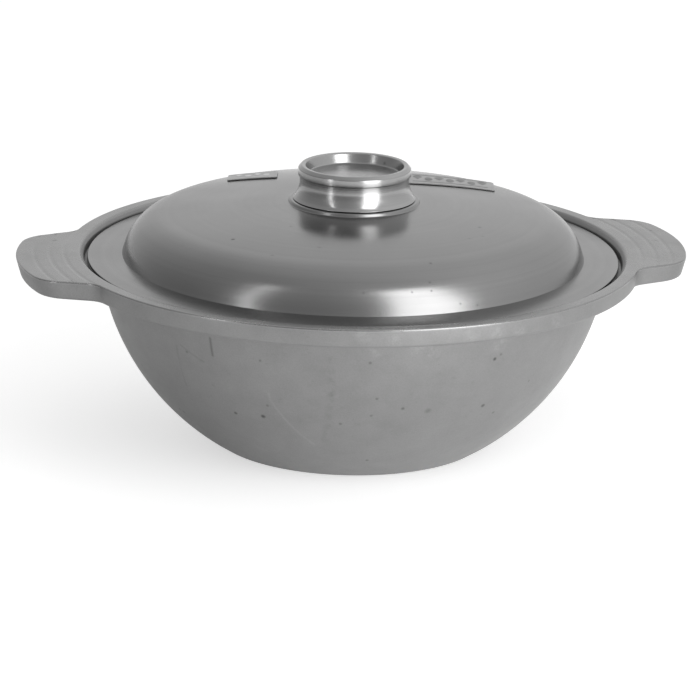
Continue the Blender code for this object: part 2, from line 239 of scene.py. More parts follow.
def swept(name: str, sections: np.ndarray) -> bpy.types.Object:
    """Skin a row of like sections and close both ends.

    Args:
        name: the new object's name.
        sections: an array of sections, points and coordinates.

    Returns:
        The new object.
    """
    first = np.repeat(sections[:1].mean(axis=1, keepdims=True), sections.shape[1], axis=1)
    last = np.repeat(sections[-1:].mean(axis=1, keepdims=True), sections.shape[1], axis=1)
    obj = ring_mesh(name, np.vstack([first, sections, last]))
    work = bmesh.new()
    work.from_mesh(obj.data)
    bmesh.ops.recalc_face_normals(work, faces=work.faces)
    work.to_mesh(obj.data)
    work.free()
    obj.data.shade_smooth()
    obj.data.set_sharp_from_angle(angle=SHARP_ANGLE)
    return obj


def dress(obj: bpy.types.Object, body: Body, node: str, finish: bpy.types.Material) -> None:
    """Give a piece its finish and its place in the frame.

    Args:
        obj: the piece.
        body: the body that it rides on.
        node: the CAD node that it stands for.
        finish: its material.
    """
    obj.data.materials.clear()
    obj.data.materials.append(finish)
    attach(obj, body.value)
    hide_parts(node)
    LOG.info("%s: %d faces, for %s", obj.name, len(obj.data.polygons), node)


# Finishes --------------------------------------------------------------------------------------
class Nodes:
    """A material's node tree, with short calls for the nodes that the finishes share."""

    def __init__(self, name: str) -> None:
        """Start a material with one Principled shader.

        Args:
            name: the material's name.
        """
        self.material = bpy.data.materials.new(name)
        self.material.use_nodes = True
        self.tree = self.material.node_tree
        self.shader = self.tree.nodes["Principled BSDF"]
        self.place = self.tree.nodes.new("ShaderNodeTexCoord").outputs["Object"]

    def set(self, **values: float) -> None:
        """Set constant values on the shader's sockets, named with _ for spaces."""
        for name, value in values.items():
            self.shader.inputs[name.replace("_", " ")].default_value = value

    def link(self, source: bpy.types.NodeSocket, target: bpy.types.NodeSocket) -> None:
        """Join an output to an input."""
        self.tree.links.new(source, target)

    def give(self, target: Socket, value: Socket | float | Vector) -> None:
        """Join a socket to an input, or set a constant on it.

        Args:
            target: the input.
            value: a socket, or the constant.
        """
        if isinstance(value, bpy.types.NodeSocket):
            self.link(value, target)
        else:
            target.default_value = value

    def math(
        self, operation: str, first: Socket | float, second: Socket | float = 0.0, third: Socket | float = 0.0
    ) -> Socket:
        """A maths node.

        Args:
            operation: the node's operation.
            first: a socket or a number.
            second: a socket or a number.
            third: a socket or a number.

        Returns:
            The node's output.
        """
        node = self.tree.nodes.new("ShaderNodeMath")
        node.operation = operation
        for socket, value in zip(node.inputs, (first, second, third)):
            self.give(socket, value)
        return node.outputs[0]

    def vector(
        self, operation: str, first: Socket | Vector, second: Socket | Place, output: str = "Vector"
    ) -> Socket:
        """A vector maths node.

        Args:
            operation: the node's operation.
            first: a socket or a vector.
            second: a socket or a vector.
            output: "Vector", or "Value" for a distance or a dot product.

        Returns:
            The node's output.
        """
        node = self.tree.nodes.new("ShaderNodeVectorMath")
        node.operation = operation
        self.give(node.inputs[0], first)
        self.give(node.inputs[1], second)
        return node.outputs[output]

    def noise(self, scale: float, detail: float = 3.0, roughness: float = 0.5) -> Socket:
        """Three-dimensional noise over the piece.

        Args:
            scale: its scale, in cells a metre.
            detail: its octaves.
            roughness: how strong the fine octaves are.

        Returns:
            The noise value's output.
        """
        node = self.tree.nodes.new("ShaderNodeTexNoise")
        node.inputs["Scale"].default_value = scale
        node.inputs["Detail"].default_value = detail
        node.inputs["Roughness"].default_value = roughness
        self.link(self.place, node.inputs["Vector"])
        return node.outputs["Fac"]

    def radius(self) -> Socket:
        """The distance from the Z axis."""
        level = self.vector("MULTIPLY", self.place, (1.0, 1.0, 0.0))
        return self.vector("DISTANCE", level, (0.0, 0.0, 0.0), "Value")

    def height(self) -> Socket:
        """The height above the base.

        Returns:
            The height's socket.
        """
        node = self.tree.nodes.new("ShaderNodeSeparateXYZ")
        self.link(self.place, node.inputs[0])
        return node.outputs["Z"]

    def lines(self, along: Socket, scale: float, detail: float = 2.0) -> Socket:
        """Uneven lines at right angles to one coordinate.

        Args:
            along: the coordinate's socket.
            scale: lines a metre.
            detail: octaves of finer lines.

        Returns:
            The lines' value.
        """
        node = self.tree.nodes.new("ShaderNodeTexNoise")
        node.noise_dimensions = "1D"
        node.inputs["Scale"].default_value = scale
        node.inputs["Detail"].default_value = detail
        self.link(along, node.inputs["W"])
        return node.outputs["Fac"]

    def range(self, value: Socket, low: float, high: float, to_low: float, to_high: float) -> Socket:
        """Map a value's range onto another, held at its ends.

        Args:
            value: the value's socket.
            low: where the value's range starts.
            high: where it ends.
            to_low: the result at the start.
            to_high: the result at the end.

        Returns:
            The mapped value.
        """
        node = self.tree.nodes.new("ShaderNodeMapRange")
        self.link(value, node.inputs["Value"])
        for name, number in (("From Min", low), ("From Max", high), ("To Min", to_low), ("To Max", to_high)):
            node.inputs[name].default_value = number
        return node.outputs["Result"]

    def pits(self, scale: float, size: float, share: float) -> Socket:
        """Sparse round pits: 1 inside a pit and 0 elsewhere.

        Args:
            scale: cells a metre, with at most one pit a cell.
            size: the pits' radius, as a part of a cell.
            share: the share of cells that have one.

        Returns:
            The pits' value.
        """
        cell = self.tree.nodes.new("ShaderNodeTexVoronoi")
        cell.inputs["Scale"].default_value = scale
        self.link(self.place, cell.inputs["Vector"])
        chance = self.tree.nodes.new("ShaderNodeTexWhiteNoise")
        self.link(cell.outputs["Position"], chance.inputs["Vector"])
        chosen = self.math("LESS_THAN", chance.outputs["Value"], share)
        dot = self.range(cell.outputs["Distance"], size * 0.55, size, 1.0, 0.0)
        return self.math("MULTIPLY", dot, chosen)

    def most(self, values: list[Socket]) -> Socket:
        """The largest of several values.

        Args:
            values: the values' sockets.

        Returns:
            The largest value's socket.
        """
        result = values[0]
        for value in values[1:]:
            result = self.math("MAXIMUM", result, value)
        return result

    def placed(self, marks: tuple[Mark, ...]) -> Socket:
        """Single round marks at given places.

        Args:
            marks: each mark's place, radius and strength.

        Returns:
            Each mark's strength at its middle, falling to 0 at its edge.
        """
        values = []
        for place, radius, strength in marks:
            away = self.vector("DISTANCE", self.place, place, "Value")
            values.append(self.range(away, radius * 0.35, radius, strength, 0.0))
        return self.most(values)

    def stroke(self, path: tuple[Place, ...], width: float, strength: float) -> Socket:
        """A soft line through given places.

        Args:
            path: the places in order.
            width: the line's half width.
            strength: its value along the middle.

        Returns:
            The line's value.
        """
        values = []
        for start, end in zip(path, path[1:]):
            run = Vector(end) - Vector(start)
            away = self.vector("SUBTRACT", self.place, start)
            along = self.vector("DOT_PRODUCT", away, run / run.length_squared, "Value")
            share = self.range(along, 0.0, 1.0, 0.0, 1.0)
            foot = self.tree.nodes.new("ShaderNodeVectorMath")
            foot.operation = "SCALE"
            foot.inputs[0].default_value = run
            self.link(share, foot.inputs["Scale"])
            gap = self.vector("DISTANCE", away, foot.outputs[0], "Value")
            values.append(self.range(gap, 0.0, width, strength, 0.0))
        return self.most(values)

    def painted(self, name: str) -> Socket:
        """A value kept on the mesh's points.

        Args:
            name: the value's name on the mesh.

        Returns:
            The value's socket.
        """
        node = self.tree.nodes.new("ShaderNodeAttribute")
        node.attribute_name = name
        return node.outputs["Fac"]

    def bump(self, height: Socket, strength: float, distance: float, under: Socket | None = None) -> Socket:
        """A bump node.

        Args:
            height: the height's socket.
            strength: its strength.
            distance: the height's full range in metres.
            under: a normal to add it to, or None.

        Returns:
            The normal's output.
        """
        node = self.tree.nodes.new("ShaderNodeBump")
        node.inputs["Strength"].default_value = strength
        node.inputs["Distance"].default_value = distance
        self.link(height, node.inputs["Height"])
        if under is not None:
            self.link(under, node.inputs["Normal"])
        return node.outputs["Normal"]

    def grey(self, value: Socket, target: str = "Base Color") -> None:
        """Send a value to the shader's colour as a neutral grey.

        Args:
            value: the grey's socket.
            target: the shader's input.
        """
        node = self.tree.nodes.new("ShaderNodeCombineColor")
        for name in ("Red", "Green", "Blue"):
            self.link(value, node.inputs[name])
        self.link(node.outputs[0], self.shader.inputs[target])

    def normal(self, value: Socket) -> None:
        """Send a normal to the shader."""
        self.link(value, self.shader.inputs["Normal"])

    def round_brushing(self) -> None:
        """Run the shader's anisotropy around Z."""
        node = self.tree.nodes.new("ShaderNodeTangent")
        node.direction_type = "RADIAL"
        node.axis = "Z"
        self.link(node.outputs[0], self.shader.inputs["Tangent"])


# Marks left by casting and use. On the bowl: turn in degrees, height, size in mm, strength. On the
# handles, the lid and the knob: turn in degrees, distance from the axis, size in mm, strength.
BOWL_PITS = (
    (-122.5, 42.0, 1.6, 0.62), (-66.5, 75.0, 1.3, 0.58), (-65.5, 47.0, 1.5, 0.52),
    (-130.5, 41.0, 1.3, 0.52), (-154.0, 29.5, 1.3, 0.44), (-87.5, 51.0, 1.2, 0.42),
    (-94.5, 15.0, 1.2, 0.36), (-155.5, 30.5, 1.1, 0.36), (-60.5, 40.5, 1.1, 0.34),
    (-94.0, 57.5, 1.1, 0.34), (-102.5, 41.5, 1.2, 0.32), (-96.0, 78.5, 1.1, 0.30),
    (-140.0, 73.0, 1.1, 0.30), (-164.0, 51.5, 1.1, 0.30), (-65.0, 77.0, 1.0, 0.28),
    (-120.5, 49.5, 1.1, 0.28), (-120.5, 76.0, 1.0, 0.28), (-95.0, 47.0, 1.1, 0.26),
    (-81.0, 48.5, 2.2, 0.24), (-52.5, 56.0, 1.0, 0.24),
)
HANDLE_PITS = ((167.5, 158.5, 1.8, 0.42), (0.5, 165.0, 1.4, 0.30), (7.5, 169.0, 1.4, 0.28))
LID_PITS = (
    (-143.0, 90.0, 1.4, 0.62), (-41.5, 76.0, 1.2, 0.42), (-80.5, 117.0, 0.8, 0.34),
    (-78.0, 103.0, 1.1, 0.32), (-90.0, 134.0, 1.1, 0.30), (-80.5, 114.0, 0.8, 0.30),
    (-85.5, 117.0, 0.8, 0.30), (-112.0, 83.5, 1.1, 0.28), (-73.5, 120.5, 0.8, 0.28),
    (-49.0, 85.0, 1.0, 0.26), (-132.5, 60.0, 1.2, 0.26), (-124.5, 98.5, 1.0, 0.26),
    (-69.0, 121.0, 0.8, 0.26), (-55.0, 83.5, 1.0, 0.24), (-97.5, 117.0, 0.9, 0.24),
)
KNOB_PITS = ((40.5, 25.0, 1.2, 0.30),)
# Lines on the bowl, as turns in degrees and heights in mm.
STREAK = ((-132.5, 84.0), (-132.5, 74.5))
MOULD_ARC = ((-119.5, 57.0), (-119.5, 53.5), (-116.5, 41.5), (-113.5, 33.0), (-110.0, 26.0))
MOULD_SEAM = ((-104.5, 79.5), (-104.5, 56.5), (-106.5, 30.0))
SCRATCHES = (
    ((-141.5, 76.0), (-139.0, 73.0), (-135.5, 69.5)),
    ((-143.0, 75.0), (-144.0, 51.5)),
)
# Pale patches on the skirt and just under it, as turns in degrees and heights in mm.
PALE_PATCHES = (
    (-98.0, 98.5), (-92.0, 96.0), (-95.0, 85.5), (-85.5, 85.0), (-82.5, 83.5),
    (-66.0, 82.5), (-77.0, 96.0), (-71.5, 95.5), (-66.5, 95.0), (-57.5, 96.0),
)


@dataclass(frozen=True)
class CastFinish:
    """A blasted aluminium casting with a fine grain, pits, a mould line and a mottled tone."""

    pits: tuple[Mark, ...]
    pale: tuple[Mark, ...]
    streak: tuple[Place, ...]
    arc: tuple[Place, ...]
    seam: tuple[Place, ...]
    scratches: tuple[tuple[Place, ...], ...]
    grey: float = 0.27
    mottle: float = 0.017
    grain: float = 0.014
    roughness: float = 0.50
    grain_height: float = 0.00009
    faced_from: float = 0.1000
    faced_roughness: float = 0.27
    faced_lift: float = 0.022

    def build(self) -> bpy.types.Material:
        """Make the material.

        Returns:
            The material.
        """
        n = Nodes("blasted_casting")
        n.set(Metallic=0.9, IOR=1.5)
        faced = n.range(n.height(), self.faced_from, self.faced_from + 0.0008, 0.0, 1.0)
        patchy = n.range(n.noise(55.0, 4.0, 0.6), 0.3, 0.7, self.roughness - 0.05, self.roughness + 0.05)
        rough = n.math("SUBTRACT", patchy, n.math("MULTIPLY", faced, self.roughness - self.faced_roughness))
        n.link(rough, n.shader.inputs["Roughness"])
        broad = n.range(n.noise(14.0, 4.0), 0.3, 0.7, -self.mottle, self.mottle)
        blotch = n.range(n.noise(75.0, 3.0), 0.3, 0.7, -0.6 * self.mottle, 0.6 * self.mottle)
        fine = n.noise(1500.0, 2.0, 0.6)
        speckle = n.range(fine, 0.3, 0.7, -self.grain, self.grain)
        speckle = n.math("MULTIPLY_ADD", faced, self.faced_lift, speckle)
        tone = n.math("ADD", n.math("ADD", broad, blotch), n.math("ADD", speckle, self.grey))
        broken = n.range(n.noise(330.0, 3.0, 0.7), 0.40, 0.62, 0.0, 1.6)
        pale = n.math("MULTIPLY", n.placed(self.pale), broken)
        pale = n.math("ADD", n.stroke(self.arc, 0.0012, 0.11), pale)
        stains = n.range(n.noise(190.0, 5.0, 0.75), 0.60, 0.80, 0.0, 0.16)
        tone = n.math("MULTIPLY", tone, n.math("SUBTRACT", n.math("ADD", pale, 1.0), stains))
        pits = n.placed(self.pits)
        ragged = n.range(n.noise(160.0, 4.0, 0.7), 0.45, 0.75, 0.0, 1.0)
        pinholes = n.math("MULTIPLY", n.pits(240.0, 0.075, 0.16), 0.22)
        scratches = [n.stroke(path, 0.0010, 0.13) for path in self.scratches]
        seam = n.math("MULTIPLY", n.stroke(self.seam, 0.0030, 0.30), ragged)
        lines = [n.stroke(self.streak, 0.0011, 0.40), seam]
        dark = n.most([pits, pinholes] + lines + scratches)
        tone = n.math("MULTIPLY", tone, n.math("SUBTRACT", 1.0, dark))
        n.grey(tone)
        coarse = n.math("MULTIPLY", n.noise(520.0, 4.0, 0.65), n.range(faced, 0.0, 1.0, 1.0, 0.15))
        grain = n.bump(coarse, 0.55, self.grain_height)
        sunk = n.math("SUBTRACT", n.math("MULTIPLY", fine, 0.25), dark)
        n.normal(n.bump(sunk, 0.45, self.grain_height, grain))
        return n.material


@dataclass(frozen=True)
class LidFinish:
    """Finely turned aluminium with faint round tool marks, a few pits and a satin sheen."""

    pits: tuple[Mark, ...]
    grey: float = 0.27
    roughness: float = 0.23
    mark_height: float = 0.000006

    def build(self) -> bpy.types.Material:
        """Make the material.

        Returns:
            The material.
        """
        n = Nodes("satin_turned_lid")
        n.set(Metallic=1.0, Anisotropic=0.40)
        n.round_brushing()
        run = n.math("SUBTRACT", n.radius(), n.math("MULTIPLY", n.height(), 0.8))
        fine = n.lines(run, 2600.0)
        wide = n.lines(run, 260.0)
        cloud = n.range(n.noise(11.0, 4.0), 0.3, 0.7, -0.012, 0.012)
        tone = n.math("ADD", n.range(fine, 0.3, 0.7, -0.008, 0.008), n.range(wide, 0.3, 0.7, -0.007, 0.007))
        tone = n.math("ADD", n.math("ADD", tone, cloud), self.grey)
        dark = n.most([n.placed(self.pits), n.math("MULTIPLY", n.pits(200.0, 0.07, 0.12), 0.2)])
        n.grey(n.math("MULTIPLY", tone, n.math("SUBTRACT", 1.0, dark)))
        rough = n.range(n.noise(30.0, 3.0), 0.3, 0.7, self.roughness - 0.03, self.roughness + 0.03)
        n.link(rough, n.shader.inputs["Roughness"])
        grooves = n.bump(n.math("ADD", fine, wide), 0.4, self.mark_height)
        n.normal(n.bump(n.math("SUBTRACT", 1.0, dark), 0.35, 0.0001, grooves))
        return n.material


@dataclass(frozen=True)
class KnobFinish:
    """Bright turned aluminium with round tool marks."""

    pits: tuple[Mark, ...]
    grey: float = 0.37
    roughness: float = 0.19

    def build(self) -> bpy.types.Material:
        """Make the material.

        Returns:
            The material.
        """
        n = Nodes("bright_turned_knob")
        n.set(Metallic=1.0, Anisotropic=0.3)
        n.round_brushing()
        run = n.math("ADD", n.radius(), n.height())
        fine = n.lines(run, 5000.0)
        wide = n.lines(run, 900.0)
        tone = n.math("ADD", n.range(fine, 0.3, 0.7, -0.018, 0.018), self.grey)
        tone = n.math("ADD", tone, n.range(n.noise(60.0, 4.0), 0.3, 0.7, -0.014, 0.014))
        n.grey(n.math("MULTIPLY", tone, n.math("SUBTRACT", 1.0, n.placed(self.pits))))
        rough = n.range(wide, 0.3, 0.7, self.roughness - 0.03, self.roughness + 0.05)
        n.link(rough, n.shader.inputs["Roughness"])
        n.normal(n.bump(n.math("ADD", fine, wide), 0.4, 0.00001))
        return n.material


@dataclass(frozen=True)
class SteelFinish:
    """Plain steel of a screw or a washer, with faint round marks."""

    grey: float = 0.55
    roughness: float = 0.30

    def build(self) -> bpy.types.Material:
        """Make the material.

        Returns:
            The material.
        """
        n = Nodes("fastener_steel")
        n.set(Metallic=1.0)
        fine = n.lines(n.radius(), 9000.0)
        tone = n.math("ADD", n.range(fine, 0.3, 0.7, -0.03, 0.03), self.grey)
        n.grey(n.math("ADD", tone, n.range(n.noise(300.0, 3.0), 0.3, 0.7, -0.04, 0.04)))
        rough = n.range(n.noise(500.0, 3.0), 0.3, 0.7, self.roughness - 0.06, self.roughness + 0.08)
        n.link(rough, n.shader.inputs["Roughness"])
        n.normal(n.bump(fine, 0.3, 0.00001))
        return n.material


@dataclass(frozen=True)
class FoilFinish:
    """Matte foil with a slight crinkle and raised marks, darker for a positive mark share."""

    name: str = "matte_foil"
    grey: float = 0.40
    mark: float = 0.55
    roughness: float = 0.42

    def build(self) -> bpy.types.Material:
        """Make the material.

        Returns:
            The material.
        """
        n = Nodes(self.name)
        n.set(Metallic=0.8)
        crinkle = n.noise(500.0, 4.0, 0.6)
        tone = n.range(crinkle, 0.3, 0.7, self.grey - 0.03, self.grey + 0.03)
        kept = n.math("SUBTRACT", 1.0, n.math("MULTIPLY", n.painted("mark"), self.mark))
        n.grey(n.math("MULTIPLY", tone, kept))
        rough = n.range(n.noise(120.0, 2.0), 0.3, 0.7, self.roughness - 0.05, self.roughness + 0.06)
        n.link(rough, n.shader.inputs["Roughness"])
        n.normal(n.bump(crinkle, 0.25, 0.00006))
        return n.material


def flat_mark(mark: tuple[float, float, float, float], level: float) -> Mark:
    """A mark on a level face.

    Args:
        mark: its turn in degrees, distance from the axis and size in mm, and its strength.
        level: the face's height in metres.

    Returns:
        The mark's place, radius and strength.
    """
    turn, away, size, depth = mark
    angle = math.radians(turn)
    return ((away / 1000 * math.cos(angle), away / 1000 * math.sin(angle), level), size / 1000, depth)


# Pot -------------------------------------------------------------------------------------------
@dataclass
class Pot:
    """The bowl's casting with its rim, lid seat and lug handles."""

    flange_level: float
    rim_top: float
    rim_radius: float
    handle_end: float
    arc_radius: float = 0.1297
    arc_x: float = 0.0050
    arc_rise: float = 0.0118
    wall: float = 0.0045
    floor: float = 0.0060
    floor_fillet: float = 0.012
    skirt_height: float = 0.0098
    seat_depth: float = 0.0035
    seat_radius: float = 0.1418
    seat_wall_radius: float = 0.1420
    rim_inner_radius: float = 0.1443
    rim_inner_round: float = 0.0016
    edge_round: float = 0.0009
    lower_round: float = 0.0016
    base_round: float = 0.0012
    rim_draft: float = 0.008
    handle_draft: float = 0.015
    under_fillet: float = 0.0030
    end_radius: float = 0.1100
    corner_radius: float = 0.0200
    side_angle: float = math.radians(19.4)
    side_offset: float = 0.0973
    root_fillet: float = 0.0110
    groove_radii: tuple[float, ...] = (0.1524, 0.1600, 0.1681)
    groove_depth: float = 0.00025
    groove_inner: float = 0.0022
    groove_outer: float = 0.0016
    top_rings: int = 72
    patch_size: float = 0.0055
    patch_strength: float = 0.09

    def outline(self) -> tuple[np.ndarray, np.ndarray]:
        """The rim's plan with both handles.

        Returns:
            The outline's points and its outward normals, each an array of (x, y).
        """
        end_x = self.handle_end - self.end_radius
        side = math.pi / 2 - self.side_angle
        reach = self.end_radius - self.corner_radius
        inset = self.side_offset - self.corner_radius - end_x * math.cos(side)
        turn = side - math.acos(inset / reach)
        corner = (end_x + reach * math.cos(turn), reach * math.sin(turn))
        far = self.rim_radius + self.root_fillet
        root = side - math.acos((self.side_offset + self.root_fillet) / far)
        fillet = (far * math.cos(root), far * math.sin(root))
        pieces = [
            ((end_x, 0.0), self.end_radius, 0.0, turn, 26, 1.0),
            (corner, self.corner_radius, turn, side, 18, 1.0),
            (None, 0.0, side, side, 10, 1.0),
            (fillet, self.root_fillet, side + math.pi, root + math.pi, 12, -1.0),
            ((0.0, 0.0), self.rim_radius, root, math.pi / 2, 96, 1.0),
        ]
        side_from = (
            corner[0] + self.corner_radius * math.cos(side),
            corner[1] + self.corner_radius * math.sin(side),
        )
        side_to = (
            fillet[0] - self.root_fillet * math.cos(side),
            fillet[1] - self.root_fillet * math.sin(side),
        )
        points: list[Point] = []
        normals: list[Point] = []
        for centre, radius, start, end, count, sign in pieces:
            for i in range(count):
                angle = start + (end - start) * i / count
                if centre is None:
                    share = i / count
                    points.append((
                        side_from[0] + (side_to[0] - side_from[0]) * share,
                        side_from[1] + (side_to[1] - side_from[1]) * share,
                    ))
                else:
                    x = centre[0] + radius * math.cos(angle)
                    points.append((x, centre[1] + radius * math.sin(angle)))
                normals.append((sign * math.cos(angle), sign * math.sin(angle)))
        points.append((0.0, self.rim_radius))
        normals.append((0.0, 1.0))
        spots = np.array(points)
        facing = np.array(normals)
        mirror_x = np.array([-1.0, 1.0])
        spots = np.vstack([spots, spots[-2::-1] * mirror_x])
        facing = np.vstack([facing, facing[-2::-1] * mirror_x])
        mirror_y = np.array([1.0, -1.0])
        spots = np.vstack([spots, spots[-2:0:-1] * mirror_y])
        facing = np.vstack([facing, facing[-2:0:-1] * mirror_y])
        return spots, facing

    def bowl_radius(self, height: float, inset: float) -> float:
        """The bowl's radius at a height, moved inwards by an inset square to its wall."""
        rise = height - self.flange_level - self.arc_rise
        return self.arc_x + math.sqrt((self.arc_radius - inset) ** 2 - rise ** 2)

    def skin(self, turn: float, height: float) -> Place:
        """The place on the pot's outside at a turn in degrees and a height in mm.

        Args:
            turn: degrees from +X.
            height: millimetres above the base.

        Returns:
            The place on the bowl, or on the skirt above its lower edge.
        """
        level = height / 1000
        on_skirt = level > self.rim_top - self.skirt_height
        radius = self.rim_radius if on_skirt else self.bowl_radius(level, 0.0)
        angle = math.radians(turn)
        return (radius * math.cos(angle), radius * math.sin(angle), level)

    def line(self, path: tuple[Point, ...]) -> tuple[Place, ...]:
        """The places of a line on the outside, given as turns and heights."""
        return tuple(self.skin(turn, height) for turn, height in path)

    def finish(self) -> CastFinish:
        """The casting's finish with its pits, patches and lines in place.

        Returns:
            The finish.
        """
        pits = [(self.skin(turn, height), size / 1000, depth) for turn, height, size, depth in BOWL_PITS]
        pits += [flat_mark(mark, self.rim_top) for mark in HANDLE_PITS]
        pale = [(place, self.patch_size, self.patch_strength) for place in self.line(PALE_PATCHES)]
        return CastFinish(
            pits=tuple(pits),
            pale=tuple(pale),
            streak=self.line(STREAK),
            arc=self.line(MOULD_ARC),
            seam=self.line(MOULD_SEAM),
            scratches=tuple(self.line(path) for path in SCRATCHES),
        )

    def inside(self) -> list[Point]:
        """The inside's profile.

        Returns:
            Its points, from the floor's centre up to the rim's inner edge.
        """
        seat = self.flange_level - self.seat_depth
        heights = np.linspace(self.floor + 0.006, seat - 0.001, 44)
        wall = [(self.bowl_radius(h, self.wall), float(h)) for h in heights]
        foot = (self.bowl_radius(self.floor, self.wall), self.floor)
        low = rounded([(0.030, self.floor), foot, wall[4]], [0.0, self.floor_fillet, 0.0], 10)
        mouth = (self.bowl_radius(seat, self.wall), seat)
        corners = [
            wall[-1],
            mouth,
            (self.seat_radius, seat),
            (self.seat_wall_radius, self.flange_level),
            (self.rim_inner_radius, self.rim_top),
            (self.rim_inner_radius + 0.0030, self.rim_top),
        ]
        radii = [0.0, 0.0007, 0.0006, 0.0020, self.rim_inner_round, 0.0]
        upper = rounded(corners, radii, 6)
        centre = straight((0.0, self.floor), (0.030, self.floor), 4)
        return centre[:-1] + low[:-1] + wall[4:-1] + upper

    def groove(self, radius: np.ndarray) -> np.ndarray:
        """Depth of the shallow arcs across the handles.

        Args:
            radius: distances from the pot's axis.

        Returns:
            The depth at each.
        """
        depth = np.zeros_like(radius)
        for middle in self.groove_radii:
            before = np.clip((radius - middle + self.groove_inner) / self.groove_inner, 0.0, 1.0)
            after = np.clip((middle + self.groove_outer - radius) / self.groove_outer, 0.0, 1.0)
            shape = np.minimum(before, after)
            depth = np.maximum(depth, self.groove_depth * shape * shape * (3 - 2 * shape))
        return depth

    def top(self, spots: np.ndarray, facing: np.ndarray) -> list[np.ndarray]:
        """Rings across the rim's and the handles' flat top.

        Args:
            spots: the outline's points.
            facing: its normals.

        Returns:
            The rings.
        """
        length = np.linalg.norm(spots, axis=1, keepdims=True)
        inner = spots / length * (self.rim_inner_radius + 0.0030)
        outer = spots - facing * self.edge_round
        rings = []
        for share in np.linspace(0.0, 1.0, self.top_rings + 1)[1:]:
            plan = inner + (outer - inner) * share
            radius = np.linalg.norm(plan, axis=1)
            on_handle = np.clip((radius - self.rim_radius + 0.0008) / 0.0008, 0.0, 1.0)
            level = self.rim_top - self.groove(radius) * on_handle
            rings.append(np.column_stack([plan, level]))
        return rings

    def skirt(self, spots: np.ndarray, facing: np.ndarray) -> list[np.ndarray]:
        """Rings down the outer edge, the skirt and its lower edge.

        Args:
            spots: the outline's points.
            facing: its normals.

        Returns:
            The rings.
        """
        radius = np.linalg.norm(spots, axis=1)
        along = (radius - self.rim_radius) / (self.handle_end - self.rim_radius)
        draft = self.rim_draft + (self.handle_draft - self.rim_draft) * along
        bottom = self.rim_top - self.skirt_height
        path = rounded(
            [(-0.004, self.rim_top), (0.0, self.rim_top), (0.0, bottom), (-0.006, bottom)],
            [0.0, self.edge_round, self.lower_round, 0.0],
            7,
        )
        path = [p for p in path if p[0] > -self.lower_round * 1.01]
        rings = []
        for inset, height in path:
            fall = (self.rim_top - height) / self.skirt_height
            plan = spots * (1.0 - draft * fall)[:, None] + facing * inset
            rings.append(np.column_stack([plan, np.full(len(plan), height)]))
        return rings[1:]

    def under(self, last: np.ndarray) -> list[np.ndarray]:
        """Rings under the rim, in to the bowl.

        Args:
            last: the skirt's last ring.

        Returns:
            The rings.
        """
        bottom = self.rim_top - self.skirt_height
        near = self.bowl_radius(bottom - self.under_fillet, 0.0) + self.under_fillet
        plan = last[:, :2]
        inner = plan / np.linalg.norm(plan, axis=1, keepdims=True) * near
        rings = []
        for share in np.linspace(0.0, 1.0, 13)[1:]:
            spot = plan + (inner - plan) * share
            rings.append(np.column_stack([spot, np.full(len(spot), bottom)]))
        return rings

    def outside(self) -> list[Point]:
        """The bowl's outer profile.

        Returns:
            Its points, from under the rim to the base's centre.
        """
        bottom = self.rim_top - self.skirt_height
        start = bottom - self.under_fillet
        centre = (self.bowl_radius(start, 0.0) + self.under_fillet, start)
        fillet = arc(centre, self.under_fillet, math.pi / 2, math.pi, 8)
        heights = np.linspace(start, 0.004, 60)[1:]
        wall = [(self.bowl_radius(float(h), 0.0), float(h)) for h in heights]
        foot = (self.bowl_radius(0.0, 0.0), 0.0)
        base = rounded([wall[-1], foot, (0.055, 0.0), (0.0, 0.0)], [0.0, self.base_round, 0.0, 0.0], 6)
        return fillet[1:] + wall + base[1:]

    def build(self) -> bpy.types.Object:
        """Make the casting's mesh.

        Returns:
            The pot's object.
        """
        spots, facing = self.outline()
        unit = spots / np.linalg.norm(spots, axis=1, keepdims=True)

        def circle(point: Point) -> np.ndarray:
            """A ring of the outline's own directions."""
            return np.column_stack([unit * point[0], np.full(len(unit), point[1])])

        rings = [circle(p) for p in self.inside()]
        rings += self.top(spots, facing)
        skirt = self.skirt(spots, facing)
        rings += skirt + self.under(skirt[-1])
        rings += [circle(p) for p in self.outside()]
        return ring_mesh("pot_casting", np.array(rings)[::-1])


